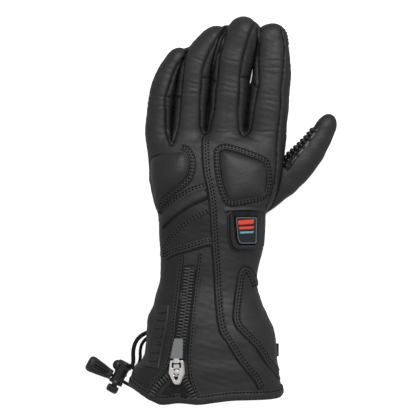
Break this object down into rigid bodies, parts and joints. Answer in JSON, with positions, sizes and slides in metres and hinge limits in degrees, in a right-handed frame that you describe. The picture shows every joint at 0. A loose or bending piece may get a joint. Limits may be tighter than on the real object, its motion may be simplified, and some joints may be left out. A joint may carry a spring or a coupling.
{
  "type": "heated glove",
  "caption": "Padded leather gauntlet glove for the left hand, with a heat control button, knuckle pads, a zipped flared cuff and a drawcord with a cord lock.",
  "frame": {"origin": "on the flat underside of the palm, under the middle of the hand", "axes": "+X to the thumb side, +Y from the cuff to the fingertips, +Z from the palm to the back of the hand"},
  "size_m": [0.2057, 0.327, 0.0638],
  "materials": {
    "back_leather": "black satin leather with a fine grain",
    "palm_leather": "black matt leather",
    "side_cloth": "black soft thin leather",
    "pad_leather": "smooth black padded leather with a low sheen",
    "grip_rubber": "glossy black raised grip print",
    "moulding": "moulded black plastic",
    "button_plastic": "dark glossy plastic with a pale rim and plain coloured marks",
    "zip_plastic": "black moulded zip teeth",
    "tape_cloth": "black woven zip tape",
    "chrome": "polished nickel",
    "pull_rubber": "grey moulded rubber",
    "cord_cloth": "braided black elastic cord"
  },
  "bodies": {
    "glove": {"hand_back": "back_leather", "hand_palm": "palm_leather", "fourchette_little_ring": "side_cloth", "fourchette_ring_middle": "side_cloth", "fourchette_middle_index": "side_cloth", "index_side_strip": "side_cloth", "thumb": "back_leather", "cuff_back": "back_leather", "cuff_palm": "palm_leather", "button_housing": "moulding", "knuckle_pad": "pad_leather", "knuckle_pad_border": "back_leather", "side_pad": "pad_leather", "side_pad_border": "back_leather", "upper_pleat": "back_leather", "lower_pleat": "back_leather", "wrist_panel": "back_leather", "wrist_fold": "back_leather", "centre_seam_strip": "back_leather", "cuff_side_panel": "back_leather", "zip_tape": "tape_cloth", "zip_chain": "zip_plastic", "zip_chain_left": "zip_plastic", "zip_chain_right": "zip_plastic", "zip_slider": "chrome", "ribbed_strip": "back_leather", "hem_binding": "back_leather", "side_tab": "side_cloth", "thumb_grip": "grip_rubber", "index_tip_patch": "grip_rubber", "cord_lock": "moulding", "cord_bell": "moulding", "drawcord_outer": "cord_cloth", "drawcord_inner": "cord_cloth", "drawcord_tail": "cord_cloth"},
    "button": {"heat_button": "button_plastic"},
    "pull": {"zip_pull": "pull_rubber"},
    "plunger": {"lock_plunger": "moulding"}
  },
  "joints": [
    {"name": "button_press", "type": "slide", "parent": "glove", "child": "button", "axis": [-0.2704, 0.0099, -0.9627], "range_m": [0, 0.001], "stiffness_N_per_m": 900},
    {"name": "pull_swing", "type": "hinge", "parent": "glove", "child": "pull", "pos_m": [-0.03003, -0.13207, 0.06029], "axis": [0.9917, 0, 0.1285], "range_deg": [0, 110]},
    {"name": "plunger_press", "type": "slide", "parent": "glove", "child": "plunger", "axis": [0.4772, 0.8788, 0], "range_m": [0, 0.0014], "stiffness_N_per_m": 900}
  ]
}
